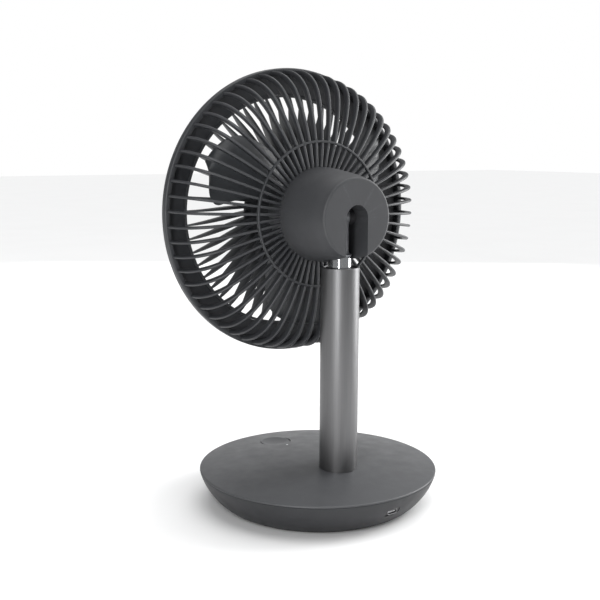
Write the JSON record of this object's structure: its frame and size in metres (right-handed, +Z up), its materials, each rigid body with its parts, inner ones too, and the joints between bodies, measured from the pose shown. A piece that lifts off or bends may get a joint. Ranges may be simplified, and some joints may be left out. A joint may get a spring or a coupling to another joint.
{
  "type": "desk fan",
  "caption": "Round desk fan with a ribbed guard and tilting motor head, on a telescoping metal stem over a weighted bowl-shaped base with a charging port.",
  "frame": {"origin": "centre of the base, on the surface that the fan stands on", "axes": "+Z up; air leaves towards -Y; the charging port and the slot in the motor housing face +Y; the tilt axis lies along X"},
  "size_m": [0.2146, 0.18, 0.3245],
  "materials": {
    "base_plastic": "fine matt texture",
    "cover_plastic": "fine matt texture",
    "guard_plastic": "fine matt texture",
    "housing_plastic": "soft matt",
    "fan_plastic": "satin",
    "inner_plastic": "moulded, matt",
    "foot_rubber": "matt",
    "screw_steel": "zinc plated",
    "ballast_steel": "plain steel, oiled",
    "cell_wrap": "heat-shrink wrap",
    "board_resin": "solder mask",
    "port_steel": "stamped",
    "light_lens": "frosted",
    "cast_zinc": "as cast, bead blasted",
    "tube_aluminium": "satin, lightly brushed",
    "rod_chrome": "polished",
    "pin_steel": "ground",
    "motor_steel": "zinc plated",
    "magnet": "moulded ferrite",
    "copper": "enamelled windings"
  },
  "bodies": {
    "base": {"base_shell": "base_plastic", "base_cover": "cover_plastic", "foot_ring": "foot_rubber", "base_screws": "screw_steel", "ballast_plate": "ballast_steel", "battery_cradle": "inner_plastic", "battery_cells": "cell_wrap", "cradle_screws": "screw_steel", "control_board": "board_resin", "board_screws": "screw_steel", "usb_port": "port_steel", "port_bezel": "inner_plastic", "button_guide": "inner_plastic", "button_switch": "inner_plastic", "status_light": "light_lens", "stem_socket": "cast_zinc", "stem_screws": "screw_steel", "stem_tube": "tube_aluminium", "tube_bush": "inner_plastic", "grip_ring": "pin_steel"},
    "button": {"switch_plunger": "inner_plastic", "power_button": "cover_plastic"},
    "neck": {"neck_rod": "rod_chrome", "rod_guide": "inner_plastic", "tilt_arm": "cast_zinc"},
    "head": {"motor_housing": "housing_plastic", "tilt_pin": "pin_steel", "tilt_washers": "inner_plastic", "driver_board": "board_resin", "rear_guard": "guard_plastic", "guard_screws": "screw_steel", "motor_base": "cast_zinc", "motor_screws": "screw_steel", "motor_bearings": "pin_steel", "motor_stator": "copper", "front_frame": "guard_plastic", "front_grille": "guard_plastic", "front_cap": "housing_plastic"},
    "fan": {"rotor_can": "motor_steel", "rotor_magnets": "magnet", "motor_shaft": "pin_steel", "impeller": "fan_plastic", "impeller_nut": "inner_plastic"}
  },
  "joints": [
    {"name": "neck_height", "type": "slide", "parent": "base", "child": "neck", "axis": [0, 0, 1], "range_m": [0, 0.06]},
    {"name": "head_tilt", "type": "hinge", "parent": "neck", "child": "head", "pos_m": [0, 0.0271, 0.2172], "axis": [-1, 0, 0], "range_deg": [-5, 90]},
    {"name": "fan_spin", "type": "hinge", "parent": "head", "child": "fan", "pos_m": [0, 0.0271, 0.2172], "axis": [0, -1, 0], "continuous": true},
    {"name": "power_press", "type": "slide", "parent": "base", "child": "button", "axis": [0, 0, -1], "range_m": [0, 0.0012], "stiffness_N_per_m": 800, "springref_m": -0.0008}
  ]
}
